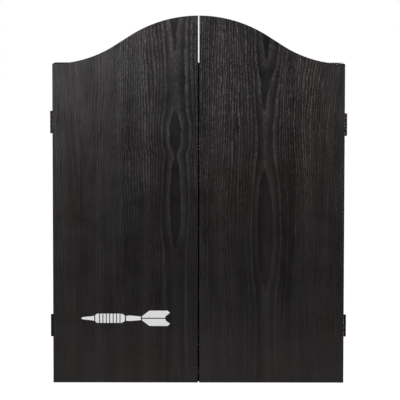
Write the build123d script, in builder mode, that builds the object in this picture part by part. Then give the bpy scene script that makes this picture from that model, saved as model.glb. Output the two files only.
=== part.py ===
from build123d import *

import os
from math import asin, cos, degrees, radians, sin

# A wall-hung dart board cabinet with a regulation board inside it.
# Two flat doors with a humped top close over a shallow rectangular case.
# Origin: on the wall plane, straight behind the centre of the board.
# +X is to the viewer's right, +Y points into the wall and +Z is up. Millimetres.

# ---- driving dimensions ----
case_width = 510.0
case_height = 560.0
case_depth = 72.0
panel_thickness = 12.0
back_thickness = 6.0
rabbet = 6.0                     # how far the back panel is let into each case panel
case_edge_radius = 0.4
bull_height = 256.0              # centre of the board above the underside of the case

door_thickness = 12.0
door_gap = 2.0                   # slit between the two doors
door_front_edge_radius = 0.8
door_back_edge_radius = 0.4
hump_height = 84.0               # crest of the doors above their shoulders
shoulder_radius = 200.0          # hollow arc at each shoulder
slope_angle = radians(32.6)      # straight between the hollow and the crest arc

hinge_length = 38.0
hinge_leaf_thickness = 1.0
hinge_leaf_width = 10.0
hinge_leaf_gap = 0.4             # between the two leaves when the door is shut
knuckle_radius = 2.3
knuckle_count = 5
knuckle_gap = 0.3
hinge_axis_offset = 2.5          # pin centre outside the edge of the door
hinge_pin_radius = 1.2
leaf_corner_radius = 1.5
hinge_screw_offset = 11.0        # hinge screws above and below the hinge's middle
upper_hinge_drop = {"left": 102.0, "right": 106.0}   # hinge middle below the case top
lower_hinge_rise = 100.0         # hinge middle above the underside of the case

board_radius = 225.5
board_thickness = 38.0
board_standoff = 10.0            # back of the board in front of the back panel
board_band_thickness = 0.8
board_backing_thickness = 12.0
double_ring_radius = 170.0
treble_ring_radius = 107.0
ring_width = 8.0
outer_bull_radius = 15.9
inner_bull_radius = 6.35
bull_ring_thickness = 0.8
bull_ring_height = 2.0
wire_width = 1.2
wire_height = 1.4
sector_count = 20
number_ring_radius = 197.0
number_wire_radius = 1.1
clip_count = 10
clip_wire_radius = 0.5
clip_depth = 8.0
foot_radius = 11.0
foot_circle = 150.0
foot_chamfer = 1.0

bracket_width = 74.0
bracket_height = 48.0
bracket_channel_width = 38.0
bracket_sheet = 1.5
bracket_fold_radius = 0.6
bracket_rise = 7.5               # front of the bracket above the back panel
bracket_top = 8.0                # top edge of the bracket above the board's screw
bracket_mouth = 3.0              # how far the slot's corners are cut back
bracket_screw_drop = 32.0        # from the upper pair of the bracket's screws to the lower
board_screw_radius = 2.5
board_screw_head_radius = 6.0

rack_length = 150.0
rack_depth = 20.0
rack_height = 10.0
rack_bottom = 240.0              # above the centre of the board
dart_hole_radius = 4.25
dart_hole_pitch = 45.0
dart_hole_inset = 12.0           # hole centre from the inside of the door
dart_hole_chamfer = 0.5
rack_corner_radius = 7.0
rack_edge_radius = 1.2

scoreboard_width = 200.0
scoreboard_bottom = -200.0
scoreboard_top = 130.0
scoreboard_thickness = 3.0
scoreboard_corner_radius = 4.0
scoreboard_screw_inset = 8.0

catch_width = 54.0
catch_height = 14.5
catch_depth = 21.5
catch_setback = 0.5              # front of the catch behind the front of the case
catch_ear = 13.0                 # how far an ear reaches out from the housing
catch_ear_depth = 13.5
catch_ear_height = 3.0
magnet_width = 45.0
magnet_setback = 1.0             # front of the magnet behind the front of its poles
pole_width = 46.0
pole_depth = 13.0
pole_thickness = 1.0
pole_pitch = 6.1                 # between the two steel poles of the magnet
pole_height = 21.2               # middle of the magnet above the underside of the case
strike_width = 24.0
strike_height = 15.0
strike_thickness = 1.1
strike_margin = 1.0              # from the strike plate to the free edge of its door
strike_corner_radius = 2.0

wall_hole_radius = 2.75
wall_hole_x = 205.0
wall_hole_top = 262.0
wall_hole_bottom = -214.0

fit = 0.05                       # radial room round a screw, dowel or pin in its hole
shut_gap = 0.3                   # left between faces that meet when a door shuts

# ---- places worked out from them ----
SIDES = {"left": -1, "right": 1}
half_width = case_width / 2
inner_half_width = half_width - panel_thickness
case_bottom = -bull_height
case_top = case_bottom + case_height
case_middle = (case_bottom + case_top) / 2
hinge_gap = 2 * hinge_leaf_thickness + hinge_leaf_gap
door_back = -(case_depth + hinge_gap)
hinge_axis_x = half_width + hinge_axis_offset
hinge_axis_y = -(case_depth + hinge_gap / 2)
board_back = -(back_thickness + board_standoff)
board_face = board_back - board_thickness
knuckle_length = (hinge_length - (knuckle_count - 1) * knuckle_gap) / knuckle_count
door_middle_x = (half_width + door_gap / 2) / 2

hinge_heights = {}
for side_name in SIDES:
    hinge_heights[side_name, "upper"] = case_top - upper_hinge_drop[side_name]
    hinge_heights[side_name, "lower"] = case_bottom + lower_hinge_rise

# Each screw is a head radius, a shank radius and a length.
CASE_SCREW = (4.0, 2.0, 40.0)
HINGE_SCREW = (2.2, 1.2, 10.0)
BRACKET_SCREW = (3.4, 1.9, 7.0)
CATCH_SCREW = (2.8, 1.5, 11.0)
STRIKE_SCREW = (2.3, 1.3, 10.0)
RACK_SCREW = (3.2, 1.6, 28.0)
SCOREBOARD_SCREW = (2.4, 1.3, 11.0)


def save(builder, name):
    """Labels a finished piece and writes it as one STEP file."""
    builder.part.label = name
    export_step(builder.part, f"parts/{name}.step")


def facing(x, y, z, direction):
    """A plane at a point whose normal looks along direction."""
    across = (0, 0, 1) if abs(direction[2]) < 0.5 else (1, 0, 0)
    return Plane(origin=(x, y, z), x_dir=across, z_dir=direction)


def wood_screw(head_radius, shank_radius, length):
    """A countersunk cross-head screw, head flush with its plane and pointing down it."""
    head_depth = head_radius - shank_radius
    with BuildPart() as screw:
        with BuildSketch(Plane.XZ):
            with BuildLine():
                Polyline(
                    (0, 0),
                    (head_radius, 0),
                    (shank_radius, -head_depth),
                    (shank_radius, 2 * shank_radius - length),
                    (0, -length),
                    close=True,
                )
            make_face()
        revolve(axis=Axis.Z)
        with PolarLocations(0, 2, angular_range=180):
            Box(
                1.1 * head_radius,
                0.26 * head_radius,
                0.6 * head_depth,
                align=(Align.CENTER, Align.CENTER, Align.MAX),
                mode=Mode.SUBTRACT,
            )
    return screw.part


def screw_group(screw, planes):
    """One node holding the same screw at every plane."""
    shape = wood_screw(*screw)
    with BuildPart() as group:
        with Locations(*planes):
            add(shape)
    return group


def screw_holes(screw, planes):
    """Countersunk holes for a screw, cut in the piece being built."""
    head_radius, shank_radius, length = screw
    with Locations(*planes):
        CounterSinkHole(shank_radius + fit, head_radius + fit, length + 1, counter_sink_angle=90)


def pilot_holes(screw, planes):
    """Plain blind holes that take a screw's shank, cut in the piece being built."""
    with Locations(*planes):
        Hole(screw[1] + fit, screw[2])


# ---- the case ----

def corner_planes(side, ys, inward=0.0):
    """Planes on a side of the case, at each shelf end, that look outwards."""
    return [
        facing(side * (half_width - inward), y, z, (side, 0, 0))
        for y in ys
        for z in (case_bottom + panel_thickness / 2, case_top - panel_thickness / 2)
    ]


case_screw_ys = (-16.0, -56.0)
dowel_y = -36.0
dowel_radius = 3.0
dowel_length = 28.0
dowel_in_side = 8.0              # how much of a dowel is in the side panel
dowel_chamfer = 0.6
pin_radius = 0.8
pin_head_radius = 1.7
pin_length = 20.0
pin_point_length = 1.5
pin_pitch_up = 150.0             # between the pins along a side
pin_pitch_across = 160.0         # between the pins along the top and the bottom
pin_start = 45.0                 # lowest side pins above the lowest row


def back_pin_points():
    """Where the panel pins go, midway in the rabbet."""
    edge_x = inner_half_width + rabbet / 2
    low_z = case_bottom + panel_thickness - rabbet / 2
    high_z = case_top - panel_thickness + rabbet / 2
    sides = [(s * edge_x, low_z + pin_start + pin_pitch_up * k) for s in (-1, 1) for k in range(4)]
    ends = [(pin_pitch_across * k, z) for k in (-1, 0, 1) for z in (low_z, high_z)]
    return sides + ends


def back_pin_planes(depth=0.0):
    return [facing(x, -depth, z, (0, 1, 0)) for x, z in back_pin_points()]


def cut_for_back_panel():
    """The rabbet that the back panel sits in, cut from the piece being built."""
    with Locations((0, 0, case_middle)):
        Box(
            2 * (inner_half_width + rabbet),
            2 * back_thickness,
            case_height - 2 * (panel_thickness - rabbet),
            mode=Mode.SUBTRACT,
        )
    with Locations(*back_pin_planes(back_thickness)):
        Hole(pin_radius + fit, pin_length - back_thickness + fit)


def hinge_screw_planes(side_name, direction, y):
    """Planes at the four screws in one side's leaves."""
    side = SIDES[side_name]
    x = side * (half_width - hinge_leaf_width / 2)
    return [
        facing(x, y, hinge_heights[side_name, level] + up * hinge_screw_offset, direction)
        for level in ("upper", "lower")
        for up in (-1, 1)
    ]


def side_panel(side_name):
    side = SIDES[side_name]
    middle_x = side * (half_width - panel_thickness / 2)
    with BuildPart() as panel:
        with Locations((middle_x, -case_depth / 2, case_middle)):
            Box(panel_thickness, case_depth, case_height)
        outer_face = panel.faces().sort_by(lambda f: side * f.center().X)[-1]
        front_inner_edge = panel.edges().filter_by(Axis.Z).sort_by(
            lambda e: side * e.center().X + e.center().Y
        )[0]
        fillet(outer_face.edges() + [front_inner_edge], case_edge_radius)
        cut_for_back_panel()
        screw_holes(CASE_SCREW, corner_planes(side, case_screw_ys))
        inner_face = corner_planes(side, (dowel_y,), panel_thickness)
        with Locations(*[Plane(p.origin, x_dir=p.x_dir, z_dir=-p.z_dir) for p in inner_face]):
            Hole(dowel_radius + fit, dowel_in_side + fit)
        pilot_holes(HINGE_SCREW, hinge_screw_planes(side_name, (0, -1, 0), -case_depth))
    return panel


catch_screw_x = (catch_width + catch_ear) / 2
catch_floor = case_bottom + panel_thickness
catch_middle_y = -case_depth + catch_setback + catch_depth / 2


def catch_screw_planes(z):
    return [facing(s * catch_screw_x, catch_middle_y, z, (0, 0, 1)) for s in (-1, 1)]


def shelf(z_middle, holds_catch):
    """The top or the bottom of the case, let in between the side panels."""
    with BuildPart() as panel:
        with Locations((0, -case_depth / 2, z_middle)):
            Box(2 * inner_half_width, case_depth, panel_thickness)
        fillet(panel.edges().filter_by(Axis.X).group_by(Axis.Y)[0], case_edge_radius)
        cut_for_back_panel()
        for side in SIDES.values():
            ends = [p for p in corner_planes(side, case_screw_ys) if abs(p.origin.Z - z_middle) < 1]
            pilot_holes(CASE_SCREW, ends)
            with Locations((side * inner_half_width, dowel_y, z_middle)):
                Cylinder(
                    dowel_radius + fit,
                    2 * (dowel_length - dowel_in_side + fit),
                    rotation=(0, 90, 0),
                    mode=Mode.SUBTRACT,
                )
        if holds_catch:
            pilot_holes(CATCH_SCREW, catch_screw_planes(catch_floor + catch_ear_height))
    return panel


def bracket_screw_planes():
    x = (bracket_channel_width + bracket_width) / 4
    y = -(back_thickness + bracket_sheet)
    return [facing(s * x, y, z, (0, -1, 0)) for s in (-1, 1) for z in (0, -bracket_screw_drop)]


def back_panel():
    with BuildPart() as panel:
        with Locations((0, -back_thickness / 2, case_middle)):
            Box(
                2 * (inner_half_width + rabbet),
                back_thickness,
                case_height - 2 * (panel_thickness - rabbet),
            )
        with Locations(*back_pin_planes()):
            CounterSinkHole(
                pin_radius + fit, pin_head_radius + fit, back_thickness, counter_sink_angle=90
            )
        pilot_holes(BRACKET_SCREW, bracket_screw_planes())
        wall_holes = [(s * wall_hole_x, 0, z) for s in (-1, 1) for z in (wall_hole_bottom, wall_hole_top)]
        with Locations(*[facing(*point, (0, 1, 0)) for point in wall_holes]):
            Hole(wall_hole_radius, back_thickness)
    return panel


def back_panel_pins():
    """Small nails whose heads sit flush in the back panel."""
    with BuildPart() as pin:
        with BuildSketch(Plane.XZ):
            with BuildLine():
                Polyline(
                    (0, 0),
                    (pin_head_radius, 0),
                    (pin_radius, pin_radius - pin_head_radius),
                    (pin_radius, pin_point_length - pin_length),
                    (0, -pin_length),
                    close=True,
                )
            make_face()
        revolve(axis=Axis.Z)
    with BuildPart() as pins:
        with Locations(*back_pin_planes()):
            add(pin.part)
    return pins


def case_dowels():
    with BuildPart() as dowel:
        Cylinder(dowel_radius, dowel_length)
        chamfer(dowel.edges().filter_by(GeomType.CIRCLE), dowel_chamfer)
    with BuildPart() as dowels:
        for side in SIDES.values():
            inward = panel_thickness - dowel_in_side + dowel_length / 2
            with Locations(*corner_planes(side, (dowel_y,), inward)):
                add(dowel.part)
    return dowels


def board_bracket():
    """A folded steel bracket whose open slot takes the board's screw."""
    channel = bracket_channel_width / 2
    wing = bracket_width / 2
    foot = -back_thickness
    front = -(back_thickness + bracket_rise)
    with BuildPart() as bracket:
        with BuildSketch(Plane.XY.offset(bracket_top - bracket_height)):
            with BuildLine():
                Polyline(
                    (0, front),
                    (channel, front),
                    (channel, foot - bracket_sheet),
                    (wing, foot - bracket_sheet),
                    (wing, foot),
                    (channel - bracket_sheet, foot),
                    (channel - bracket_sheet, front + bracket_sheet),
                    (0, front + bracket_sheet),
                    close=True,
                )
            make_face()
            mirror(about=Plane.YZ)
        extrude(amount=bracket_height)
        folds = bracket.edges().filter_by(Axis.Z).filter_by(lambda e: abs(e.center().X) < wing - 0.1)
        fillet(folds, bracket_fold_radius)
        slot_radius = board_screw_radius + shut_gap
        with BuildSketch(Plane.XZ.offset(-front)):
            Circle(slot_radius)
            with Locations((0, bracket_top / 2)):
                Rectangle(2 * slot_radius, bracket_top)
        extrude(amount=-bracket_sheet, mode=Mode.SUBTRACT)
        mouth = bracket.edges().filter_by(Axis.Y).filter_by(
            lambda e: e.center().Z > bracket_top - 0.1 and abs(e.center().X) < slot_radius + 0.1
        )
        chamfer(mouth, bracket_mouth)
        screw_holes(BRACKET_SCREW, bracket_screw_planes())
    return bracket


# ---- the magnetic catch at the middle of the bottom panel ----

catch_middle_z = case_bottom + pole_height
pole_front = door_back + strike_thickness + shut_gap
pole_back = pole_front + pole_depth
pocket_room = 0.2                # round the magnet and its poles
housing_corner_radius = 2.0
housing_top_radius = 0.8
ear_corner_radius = 4.0


def catch_housing():
    """Plastic body with an ear at each end and a pocket for the magnet and its poles."""
    with BuildPart() as housing:
        with Locations((0, catch_middle_y, catch_floor)):
            Box(catch_width, catch_depth, catch_height, align=(Align.CENTER, Align.CENTER, Align.MIN))
        fillet(housing.edges().filter_by(Axis.Z), housing_corner_radius)
        fillet(housing.faces().sort_by(Axis.Z)[-1].edges(), housing_top_radius)
        with Locations((0, catch_middle_y, catch_floor)):
            Box(
                catch_width + 2 * catch_ear,
                catch_ear_depth,
                catch_ear_height,
                align=(Align.CENTER, Align.CENTER, Align.MIN),
            )
        ear_tips = housing.edges().filter_by(Axis.Z).group_by(lambda e: round(abs(e.center().X), 1))[-1]
        fillet(ear_tips, ear_corner_radius)
        with Locations((0, pole_back + pocket_room, catch_middle_z)):
            Box(
                pole_width + 2 * pocket_room,
                2 * pole_depth,
                pole_pitch + pole_thickness + 2 * pocket_room,
                align=(Align.CENTER, Align.MAX, Align.CENTER),
                mode=Mode.SUBTRACT,
            )
        screw_holes(CATCH_SCREW, catch_screw_planes(catch_floor + catch_ear_height))
    return housing


def catch_magnet():
    depth = pole_depth - magnet_setback
    with BuildPart() as magnet:
        with Locations((0, pole_back - depth / 2, catch_middle_z)):
            Box(magnet_width, depth, pole_pitch - pole_thickness)
    return magnet


def catch_poles():
    """The two steel plates that carry the magnet's pull to the doors."""
    with BuildPart() as poles:
        with Locations((0, pole_back - pole_depth / 2, catch_middle_z)):
            with Locations(*[(0, 0, s * pole_pitch / 2) for s in (-1, 1)]):
                Box(pole_width, pole_depth, pole_thickness)
    return poles


# ---- hinges ----

def hinge_leaf(side_name, level, on_door):
    """One leaf of a butt hinge: the case leaf has the odd knuckles, the door leaf the even."""
    side = SIDES[side_name]
    middle_z = hinge_heights[side_name, level]
    if on_door:
        plate_y = door_back + hinge_leaf_thickness / 2
        screw_face = (0, 1, 0)
    else:
        plate_y = -case_depth - hinge_leaf_thickness / 2
        screw_face = (0, -1, 0)
    plate_inner = half_width - hinge_leaf_width
    plate_outer = hinge_axis_x - knuckle_radius - shut_gap
    first = middle_z - hinge_length / 2 + knuckle_length / 2
    heights = [first + k * (knuckle_length + knuckle_gap) for k in range(knuckle_count)]
    own = heights[1::2] if on_door else heights[0::2]
    with BuildPart() as leaf:
        with Locations((side * (plate_inner + plate_outer) / 2, plate_y, middle_z)):
            Box(plate_outer - plate_inner, hinge_leaf_thickness, hinge_length)
        tab_width = hinge_axis_x - plate_outer
        with Locations(*[(side * (hinge_axis_x - tab_width / 2), plate_y, z) for z in own]):
            Box(tab_width, hinge_leaf_thickness, knuckle_length)
        with Locations(*[(side * hinge_axis_x, hinge_axis_y, z) for z in own]):
            Cylinder(knuckle_radius, knuckle_length)
        with Locations((side * hinge_axis_x, hinge_axis_y, middle_z)):
            Cylinder(hinge_pin_radius + fit, 2 * hinge_length, mode=Mode.SUBTRACT)
        free_corners = leaf.edges().filter_by(Axis.Y).sort_by(lambda e: abs(e.center().X))[:2]
        fillet(free_corners, leaf_corner_radius)
        face_y = plate_y + screw_face[1] * hinge_leaf_thickness / 2
        at_level = [
            p for p in hinge_screw_planes(side_name, screw_face, face_y)
            if abs(p.origin.Z - middle_z) < hinge_length / 2
        ]
        screw_holes(HINGE_SCREW, at_level)
    return leaf


def hinge_pin(side_name, level):
    """The pin, with a low rounded head at each end of the barrel."""
    head_radius = 1.9
    head_height = 0.8
    head_fillet = 0.6
    place = (SIDES[side_name] * hinge_axis_x, hinge_axis_y, hinge_heights[side_name, level])
    with BuildPart() as pin:
        with Locations(place):
            Cylinder(hinge_pin_radius, hinge_length)
            with Locations(*[(0, 0, s * (hinge_length + head_height) / 2) for s in (-1, 1)]):
                Cylinder(head_radius, head_height)
        ends = pin.faces().filter_by(Plane.XY).sort_by(Axis.Z)
        fillet([ends[0].edge(), ends[-1].edge()], head_fillet)
    return pin


# ---- the doors and what is on them ----

def door_top(side):
    """The humped top edge of a door, from its outer shoulder in to the slit."""
    radii = (half_width * sin(slope_angle) - hump_height * cos(slope_angle)) / (1 - cos(slope_angle))
    crest_radius = radii - shoulder_radius
    crest_centre = case_top + hump_height - crest_radius
    hollow = [
        (
            side * (half_width - shoulder_radius * sin(a)),
            case_top + shoulder_radius * (1 - cos(a)),
        )
        for a in (0, slope_angle / 2, slope_angle)
    ]
    slit_angle = asin(door_gap / 2 / crest_radius)
    crest = [
        (side * crest_radius * sin(a), crest_centre + crest_radius * cos(a))
        for a in (slope_angle, (slope_angle + slit_angle) / 2, slit_angle)
    ]
    ThreePointArc(*hollow)
    Line(hollow[-1], crest[0])
    ThreePointArc(*crest)
    return hollow[0], crest[-1]


def scoreboard_screw_planes(side, y):
    half = scoreboard_width / 2 - scoreboard_screw_inset
    return [
        facing(side * (door_middle_x + across * half), y, z, (0, 1, 0))
        for across in (-1, 1)
        for z in (scoreboard_bottom + scoreboard_screw_inset, scoreboard_top - scoreboard_screw_inset)
    ]


def rack_screw_planes(side, y):
    z = rack_bottom + rack_height / 2
    half = dart_hole_pitch / 2
    return [facing(side * (door_middle_x + a * half), y, z, (0, 1, 0)) for a in (-1, 1)]


strike_middle_x = door_gap / 2 + strike_margin + strike_width / 2


def strike_screw_plane(side, y):
    return facing(side * strike_middle_x, y, catch_middle_z, (0, 1, 0))


def door(side_name):
    side = SIDES[side_name]
    with BuildPart() as leaf:
        with BuildSketch(Plane.XZ.offset(-door_back)):
            with BuildLine():
                shoulder, crest = door_top(side)
                Polyline(
                    crest,
                    (side * door_gap / 2, case_bottom),
                    (side * half_width, case_bottom),
                    shoulder,
                )
            make_face()
        extrude(amount=door_thickness)
        fillet(leaf.faces().sort_by(Axis.Y)[0].edges(), door_front_edge_radius)
        fillet(leaf.faces().sort_by(Axis.Y)[-1].edges(), door_back_edge_radius)
        pilot_holes(HINGE_SCREW, hinge_screw_planes(side_name, (0, 1, 0), door_back + hinge_leaf_thickness))
        pilot_holes(
            SCOREBOARD_SCREW, scoreboard_screw_planes(side, door_back + scoreboard_thickness)
        )
        pilot_holes(RACK_SCREW, rack_screw_planes(side, door_back + rack_depth))
        pilot_holes(STRIKE_SCREW, [strike_screw_plane(side, door_back + strike_thickness)])
    return leaf


def scoreboard(side_name):
    side = SIDES[side_name]
    with BuildPart() as board:
        with BuildSketch(Plane.XZ.offset(-door_back)):
            with Locations((side * door_middle_x, (scoreboard_bottom + scoreboard_top) / 2)):
                RectangleRounded(
                    scoreboard_width, scoreboard_top - scoreboard_bottom, scoreboard_corner_radius
                )
        extrude(amount=-scoreboard_thickness)
        screw_holes(SCOREBOARD_SCREW, scoreboard_screw_planes(side, door_back + scoreboard_thickness))
    return board


def dart_rack(side_name):
    """A wooden bar with three holes, from which three darts hang by their flights."""
    side = SIDES[side_name]
    front = door_back + rack_depth
    with BuildPart() as rack:
        with Locations((side * door_middle_x, door_back, rack_bottom)):
            Box(rack_length, rack_depth, rack_height, align=(Align.CENTER, Align.MIN, Align.MIN))
        fillet(rack.edges().filter_by(Axis.Z).group_by(Axis.Y)[-1], rack_corner_radius)
        fillet(rack.faces().sort_by(Axis.Y)[-1].edges().filter_by(Axis.X), rack_edge_radius)
        top = Plane((side * door_middle_x, door_back + dart_hole_inset, rack_bottom + rack_height))
        with Locations(top):
            with GridLocations(dart_hole_pitch, 1, 3, 1):
                Hole(dart_hole_radius, rack_height)
        rims = rack.edges().filter_by(GeomType.CIRCLE).filter_by(
            lambda e: abs(e.radius - dart_hole_radius) < 0.01
        )
        chamfer(rims, dart_hole_chamfer)
        screw_holes(RACK_SCREW, rack_screw_planes(side, front))
    return rack


def strike_plate(side_name):
    """The steel plate on a door that the catch's magnet holds."""
    side = SIDES[side_name]
    with BuildPart() as plate:
        with BuildSketch(Plane.XZ.offset(-door_back)):
            with Locations((side * strike_middle_x, catch_middle_z)):
                RectangleRounded(strike_width, strike_height, strike_corner_radius)
        extrude(amount=-strike_thickness)
        screw_holes(STRIKE_SCREW, [strike_screw_plane(side, door_back + strike_thickness)])
    return plate


bumper_radius = 5.0
bumper_thickness = hinge_gap - shut_gap
bumper_edge_radius = 0.7
upper_bumper_x = 32.0
lower_bumper_x = 120.0


def door_bumpers(side_name):
    """Soft pads that meet the edges of the top and bottom panels."""
    side = SIDES[side_name]
    half_panel = panel_thickness / 2
    points = [(upper_bumper_x, case_top - half_panel), (lower_bumper_x, case_bottom + half_panel)]
    with BuildPart() as pads:
        with BuildSketch(Plane.XZ.offset(-door_back)):
            with Locations(*[(side * x, z) for x, z in points]):
                Circle(bumper_radius)
        extrude(amount=-bumper_thickness)
        fillet(pads.faces().group_by(Axis.Y)[-1].edges(), bumper_edge_radius)
    return pads


# ---- the board ----

clip_leg_spread = number_wire_radius + clip_wire_radius + 2 * fit
number_ring_y = board_face - number_wire_radius
clip_crown_y = number_ring_y - clip_leg_spread
disc_radius = board_radius - board_band_thickness - 2 * fit


def clip_angles():
    """The clips stand on the lines between sectors."""
    return [radians(180 / sector_count + 360 / clip_count * k) for k in range(clip_count)]


def sisal_face():
    """The pressed fibre disc that the darts stick in."""
    with BuildPart() as face:
        with BuildSketch(Plane.XZ.offset(board_backing_thickness - board_back)):
            Circle(disc_radius)
        extrude(amount=board_thickness - board_backing_thickness)
        legs = [
            facing(r * cos(a), board_face, r * sin(a), (0, -1, 0))
            for a in clip_angles()
            for r in (number_ring_radius - clip_leg_spread, number_ring_radius + clip_leg_spread)
        ]
        with Locations(*legs):
            Hole(clip_wire_radius + fit, clip_depth + fit)
    return face


board_screw_depth = 9.0
board_screw_tip = board_back - board_screw_depth


def board_backing():
    """The chipboard disc behind the fibre."""
    with BuildPart() as backing:
        with BuildSketch(Plane.XZ.offset(-board_back)):
            Circle(disc_radius)
        extrude(amount=board_backing_thickness)
        with Locations(facing(0, board_back, 0, (0, 1, 0))):
            Hole(board_screw_radius + fit, board_back - board_screw_tip + fit)
    return backing


def board_band():
    """The steel hoop round the rim."""
    with BuildPart() as band:
        with BuildSketch(Plane.XZ.offset(-board_back)):
            Circle(board_radius)
            Circle(board_radius - board_band_thickness, mode=Mode.SUBTRACT)
        extrude(amount=board_thickness)
    return band


def board_screw():
    """The pan-head screw that hangs in the bracket's slot."""
    head_front = -(back_thickness + bracket_rise - bracket_sheet) + shut_gap
    head_height = 2.4
    head_edge_radius = 1.6
    point_chamfer = 1.5
    with BuildPart() as screw:
        with BuildSketch(Plane.XZ.offset(-head_front)):
            Circle(board_screw_radius)
        extrude(amount=head_front - board_screw_tip)
        chamfer(screw.faces().sort_by(Axis.Y)[0].edge(), point_chamfer)
        with BuildSketch(Plane.XZ.offset(-head_front)):
            Circle(board_screw_head_radius)
        extrude(amount=-head_height)
        fillet(screw.faces().sort_by(Axis.Y)[-1].edge(), head_edge_radius)
    return screw


def board_feet():
    """Three rubber feet that keep the board upright against the back panel."""
    with BuildPart() as feet:
        with BuildSketch(Plane.XZ.offset(-board_back)):
            with PolarLocations(foot_circle, 3, start_angle=90):
                Circle(foot_radius)
        extrude(amount=-(board_standoff - shut_gap))
        chamfer(feet.faces().group_by(Axis.Y)[-1].edges(), foot_chamfer)
    return feet


def wire_spider():
    """The flat wires that divide the face into beds."""
    inner_step = ring_width + wire_width      # the narrow beds are ring_width between their wires
    ring_radii = (
        double_ring_radius,
        double_ring_radius - inner_step,
        treble_ring_radius,
        treble_ring_radius - inner_step,
        outer_bull_radius,
    )
    spoke_start = outer_bull_radius
    spoke_length = double_ring_radius - spoke_start
    with BuildPart() as spider:
        with BuildSketch(Plane.XZ.offset(-board_face)):
            for radius in ring_radii:
                with BuildSketch(mode=Mode.PRIVATE) as ring:
                    Circle(radius)
                    Circle(radius - wire_width, mode=Mode.SUBTRACT)
                add(ring.sketch)
            with PolarLocations(
                spoke_start + spoke_length / 2 - wire_width / 2,
                sector_count,
                start_angle=180 / sector_count,
            ):
                Rectangle(spoke_length, wire_width)
        extrude(amount=wire_height)
    return spider


def bull_ring():
    """The thin steel cup edge round the inner bull."""
    with BuildPart() as ring:
        with BuildSketch(Plane.XZ.offset(-board_face)):
            Circle(inner_bull_radius + bull_ring_thickness)
            Circle(inner_bull_radius, mode=Mode.SUBTRACT)
        extrude(amount=bull_ring_height)
    return ring


def number_ring():
    with BuildPart() as ring:
        with BuildSketch(Plane.XY):
            with Locations((number_ring_radius, number_ring_y)):
                Circle(number_wire_radius)
        revolve(axis=Axis.Y)
    return ring


def number_ring_clips():
    """Wire staples that hold the number ring down on the face."""
    inner = number_ring_radius - clip_leg_spread
    outer = number_ring_radius + clip_leg_spread
    foot = board_face + clip_depth
    with BuildPart() as clip:
        with BuildLine() as path:
            FilletPolyline(
                (inner, foot, 0), (inner, clip_crown_y, 0), (outer, clip_crown_y, 0), (outer, foot, 0),
                radius=1.5 * clip_wire_radius,
            )
        with BuildSketch(Plane(origin=path.line @ 0, z_dir=path.line % 0)):
            Circle(clip_wire_radius)
        sweep()
    with BuildPart() as clips:
        turns = [Location((0, 0, 0), (0, -degrees(a), 0)) for a in clip_angles()]
        with Locations(*turns):
            add(clip.part)
    return clips


# ---- write every piece ----

def main():
    os.makedirs("parts", exist_ok=True)
    save(shelf(case_top - panel_thickness / 2, holds_catch=False), "top_panel")
    save(shelf(case_bottom + panel_thickness / 2, holds_catch=True), "bottom_panel")
    save(back_panel(), "back_panel")
    save(back_panel_pins(), "back_panel_pins")
    save(case_dowels(), "case_dowels")
    save(board_bracket(), "board_bracket")
    save(screw_group(BRACKET_SCREW, bracket_screw_planes()), "bracket_screws")
    save(catch_housing(), "catch_housing")
    save(catch_magnet(), "catch_magnet")
    save(catch_poles(), "catch_poles")
    save(screw_group(CATCH_SCREW, catch_screw_planes(catch_floor + catch_ear_height)), "catch_screws")

    case_corners = [p for side in SIDES.values() for p in corner_planes(side, case_screw_ys)]
    save(screw_group(CASE_SCREW, case_corners), "case_screws")
    leaf_face = -(case_depth + hinge_leaf_thickness)
    case_hinge_screws = [
        p for name in SIDES for p in hinge_screw_planes(name, (0, -1, 0), leaf_face)
    ]
    save(screw_group(HINGE_SCREW, case_hinge_screws), "hinge_case_screws")

    for name, side in SIDES.items():
        save(side_panel(name), f"side_panel_{name}")
        for level in ("upper", "lower"):
            save(hinge_leaf(name, level, on_door=False), f"hinge_case_leaf_{name}_{level}")
            save(hinge_leaf(name, level, on_door=True), f"hinge_door_leaf_{name}_{level}")
            save(hinge_pin(name, level), f"hinge_pin_{name}_{level}")
        save(door(name), f"door_{name}")
        save(scoreboard(name), f"scoreboard_{name}")
        save(dart_rack(name), f"dart_rack_{name}")
        save(strike_plate(name), f"strike_plate_{name}")
        save(door_bumpers(name), f"door_bumpers_{name}")
        leaf_face = door_back + hinge_leaf_thickness
        save(
            screw_group(HINGE_SCREW, hinge_screw_planes(name, (0, 1, 0), leaf_face)),
            f"hinge_door_screws_{name}",
        )
        face = door_back + scoreboard_thickness
        save(
            screw_group(SCOREBOARD_SCREW, scoreboard_screw_planes(side, face)),
            f"scoreboard_screws_{name}",
        )
        save(
            screw_group(RACK_SCREW, rack_screw_planes(side, door_back + rack_depth)),
            f"dart_rack_screws_{name}",
        )
        save(
            screw_group(STRIKE_SCREW, [strike_screw_plane(side, door_back + strike_thickness)]),
            f"strike_screw_{name}",
        )

    save(sisal_face(), "sisal_face")
    save(board_backing(), "board_backing")
    save(board_band(), "board_band")
    save(board_screw(), "board_screw")
    save(board_feet(), "board_feet")
    save(wire_spider(), "wire_spider")
    save(bull_ring(), "bull_ring")
    save(number_ring(), "number_ring")
    save(number_ring_clips(), "number_ring_clips")


main()
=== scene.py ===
import math

import bmesh
import bpy
from mathutils import Matrix, Vector


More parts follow.
